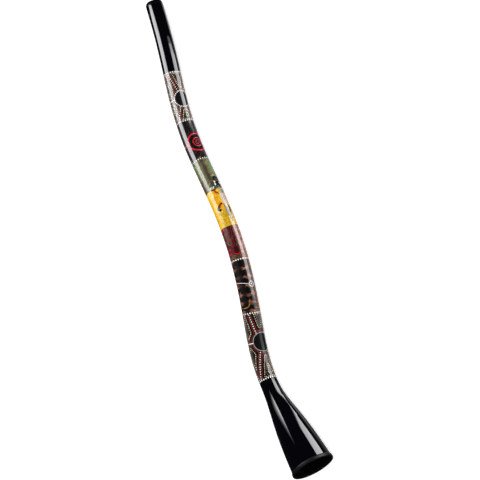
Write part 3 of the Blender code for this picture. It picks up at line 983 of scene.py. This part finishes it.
def shells():
    """The two half shells, closed to a hairline along the seams."""
    profile = shell_profile()
    line = np.degrees(SEAM_LINE / 2 / TUBE_RADIUS)
    materials = [gelcoat(), laminate()]
    for half, seam in (("upper", FACING - 180), ("lower", FACING)):
        angles = np.linspace(seam + line, seam + 180 - line, SEGMENTS // 2 + 1)
        outside = [[(x, outer, a) for x, outer, _ in profile] for a in angles]
        inside = [[(x, inner, a) for x, _, inner in profile] for a in angles]
        wall(half + "_shell", outside, inside, materials, f"shell_{half}_half")


def tapes():
    """A strip of glass tape over each seam, on the inside of the shells."""
    start = LIP_LENGTH + SPIGOT_LENGTH + TAPE_END_CLEARANCE
    end = LENGTH - GUARD_INNER_FLANGE - GUARD_WEB - TAPE_END_CLEARANCE
    columns = np.linspace(-TAPE_WIDTH / 2, TAPE_WIDTH / 2, 9)
    material = seam_glass()
    for side, seam in (("left", FACING), ("right", FACING + 180)):
        outside, inside = [[[(x, lining(x) - depth, seam + np.degrees(c / lining(x))) for c in columns]
                            for x in stations(start, end)] for depth in (0, TAPE_THICKNESS)]
        wall(side + "_seam_tape", outside, inside, [material], "seam_tape_" + side)


def mouth_end():
    """The rounded mouthpiece, with the spigot that fits inside the shells."""
    spigot_end = LIP_LENGTH + SPIGOT_LENGTH
    spigot_radius = TUBE_RADIUS - WALL - GAP
    spigot_bore = spigot_radius - SPIGOT_WALL
    crest = TUBE_RADIUS - LIP_ROUND_DEPTH
    lip = crest - MOUTH_HOLE_RADIUS
    edge_x, edge_r = 0.25, 0.2
    outline = corner(lip, crest, lip, lip, -90, -180)[:-1]
    outline += corner(LIP_ROUND_LENGTH, crest, LIP_ROUND_LENGTH, LIP_ROUND_DEPTH, 180, 90, 14)
    outline += [(LIP_LENGTH - edge_x, TUBE_RADIUS), (LIP_LENGTH, TUBE_RADIUS - edge_r),
                (LIP_LENGTH, spigot_radius), (spigot_end, spigot_radius)]
    outline += [(x, MOUTH_HOLE_RADIUS + (spigot_bore - MOUTH_HOLE_RADIUS) * (x - lip) / (spigot_end - lip))
                for x in np.linspace(spigot_end, lip, 6)[:-1]]
    turned("mouth_rest", outline, mouth_black(), "mouthpiece")


def rim():
    """The rubber guard: a web over the bell's end with a flange outside the bell and one inside it."""
    web = LENGTH - GUARD_WEB
    outer_start = LENGTH - GUARD_OUTER_FLANGE
    inner_start = LENGTH - GUARD_INNER_FLANGE
    rise = GUARD_RADIUS - skin(outer_start) - GAP
    bore = BELL_RADIUS - WALL - GAP - GUARD_FLANGE_THICKNESS
    edge = GUARD_EDGE_ROUND
    bevel_x, bevel_r = 0.5, 0.6
    flange_bore = lining(inner_start) - GUARD_FLANGE_THICKNESS
    outline = corner(outer_start + 2 * rise, GUARD_RADIUS - rise, 2 * rise, rise, 180, 90)
    outline += corner(LENGTH - edge, GUARD_RADIUS - edge, edge, edge, 90, 0)
    outline += corner(LENGTH - edge, bore + edge, edge, edge, 0, -90)
    outline += [(inner_start + bevel_x, flange_bore), (inner_start, flange_bore + bevel_r),
                (inner_start, lining(inner_start)), (web, lining(web)), (web, skin(web) + GAP)]
    turned("rim_ring", outline, rubber(), "bell_rim_guard")


def wrap(field, start, end):
    """The print of one field, with half a gap towards each neighbour."""
    first = start + GAP / 2 * (start > PRINT_START)
    last = end - GAP / 2 * (end < PRINT_END)
    outside = [(x, skin(x)) for x in stations(first, last)]
    inside = [(x, r - WRAP_THICKNESS) for x, r in outside]
    slot = slot_of(field)
    mix, *settings = GROUNDS[field]
    turned(field + "_print", outside + inside[::-1], mix(slot, *settings), "wrap_" + field)


# --- stage ---

def direction(azimuth, elevation):
    """From the object towards a viewer. Azimuth 0 looks along +Y."""
    return Vector((sin(azimuth) * cos(elevation), -cos(azimuth) * cos(elevation), sin(elevation)))


def aim(thing, location, back, right):
    """Puts a camera or a light at location. back and right are directions, as seen from behind it."""
    turn = Matrix((right, back.cross(right), back)).transposed()
    thing.matrix_world = Matrix.Translation(location) @ turn.to_4x4()


def camera():
    data = bpy.data.cameras.new("camera")
    data.lens = VIEW_LENS
    data.shift_x, data.shift_y = VIEW_SHIFT
    data.clip_end = 100
    viewer = put("camera", data)
    back = direction(VIEW_AZIMUTH, VIEW_ELEVATION)
    flat = Vector((cos(VIEW_AZIMUTH), sin(VIEW_AZIMUTH), 0))
    right = flat * cos(VIEW_ROLL) + back.cross(flat) * sin(VIEW_ROLL)
    target = Vector(place(np.array([0.0, LENGTH]), 0.0, np.zeros(2)).mean(0))
    aim(viewer, target + back * VIEW_DISTANCE, back, right)
    bpy.context.scene.camera = viewer


def softbox(name, target, offset, width, length, power, gloss):
    """A rectangular light at an offset from its target, with its length along X. Either only gloss shows
    it, or everything except gloss."""
    data = bpy.data.lights.new(name, "AREA")
    data.shape = "RECTANGLE"
    data.size, data.size_y = width, length
    data.energy = power
    data.color = (0.98, 0.97, 1.0)
    light = put(name, data)
    back = offset.normalized()
    aim(light, target + offset, back, Vector((1, 0, 0)).cross(back).normalized())
    light.visible_glossy, light.visible_diffuse = gloss, not gloss
    light.visible_camera = False


def light_panel(name, roll, spread, distance, start, end, radiance):
    """A panel beside the tube, from X start to end. It fills spread degrees round the tube, centred at
    roll degrees from the viewer's side towards the picture's right."""
    viewer = direction(VIEW_AZIMUTH, VIEW_ELEVATION)
    front = Vector((0, viewer.y, viewer.z)).normalized()
    outward = Matrix.Rotation(radians(-roll), 3, "X") @ front
    width, length = 2 * distance * tan(radians(spread / 2)), end - start
    axis_height = 0.06
    middle = Vector(((start + end) / 2, 0, axis_height))
    softbox(name, middle, outward * distance, width, length, radiance * pi * width * length, gloss=True)


def lights():
    """Long panels on both sides that fade out towards their ends, a thin one for the bell's neck, the pale
    floor as the lacquer shows it, and a soft fill from above."""
    for name, roll, spread, distance, marks, radiances in PANELS:
        for number, (start, end, radiance) in enumerate(zip(marks, marks[1:], radiances)):
            light_panel(f"{name}_panel_{number}", roll, spread, distance, start, end, radiance)
    softbox("top_fill", Vector(), Vector((0.4, 0.4, 3.2)), 2.5, 2.5, 60, gloss=False)


def background(nodes, strength):
    """White light of one strength, for the world's shader."""
    node = nodes.new("ShaderNodeBackground")
    node.inputs["Color"].default_value = (1, 1, 1, 1)
    node.inputs["Strength"].default_value = strength
    return node.outputs[0]


def world():
    """White to the camera, even daylight on paint, and dark round the room as gloss sees it."""
    sky = bpy.data.worlds.new("studio")
    bpy.context.scene.world = sky
    sky.use_nodes = True
    nodes, links = sky.node_tree.nodes, sky.node_tree.links
    nodes.clear()
    path = nodes.new("ShaderNodeLightPath")
    shade = background(nodes, 0.85)
    for ray, strength in (("Is Glossy Ray", 0.015), ("Is Camera Ray", 1.0)):
        mixer = nodes.new("ShaderNodeMixShader")
        links.new(path.outputs[ray], mixer.inputs[0])
        links.new(shade, mixer.inputs[1])
        links.new(background(nodes, strength), mixer.inputs[2])
        shade = mixer.outputs[0]
    links.new(shade, nodes.new("ShaderNodeOutputWorld").inputs["Surface"])


def floor():
    """A pale matt floor just under the instrument, which gloss doesn't show."""
    size, drop = 12, 0.0003
    mesh = bpy.data.meshes.new("floor")
    corners = [(-size, -size, 0), (size, -size, 0), (size, size, 0), (-size, size, 0)]
    mesh.from_pydata(corners, [], [(0, 1, 2, 3)])
    ground = put("floor", mesh)
    ground.location.z = -drop
    material = bpy.data.materials.new("pale_floor")
    material.use_nodes = True
    shader = material.node_tree.nodes["Principled BSDF"]
    for name, value in (("Base Color", (0.9, 0.9, 0.9, 1)), ("Roughness", 0.9),
                        ("Emission Color", (1, 1, 1, 1)), ("Emission Strength", 0.35)):
        shader.inputs[name].default_value = value
    mesh.materials.append(material)
    ground.visible_glossy = False


shells()
tapes()
mouth_end()
rim()
for field, (field_start, field_end) in FIELDS.items():
    wrap(field, field_start, field_end)

paint_dotwork()
paint_dark_brown()
paint_green()
paint_yellow()
paint_feather_vane()
paint_feather_plume()
paint_maroon()
paint_brown()
for work in PAINTED:
    work.piece()

world()
floor()
lights()
camera()
bpy.context.scene.view_settings.view_transform = "Standard"
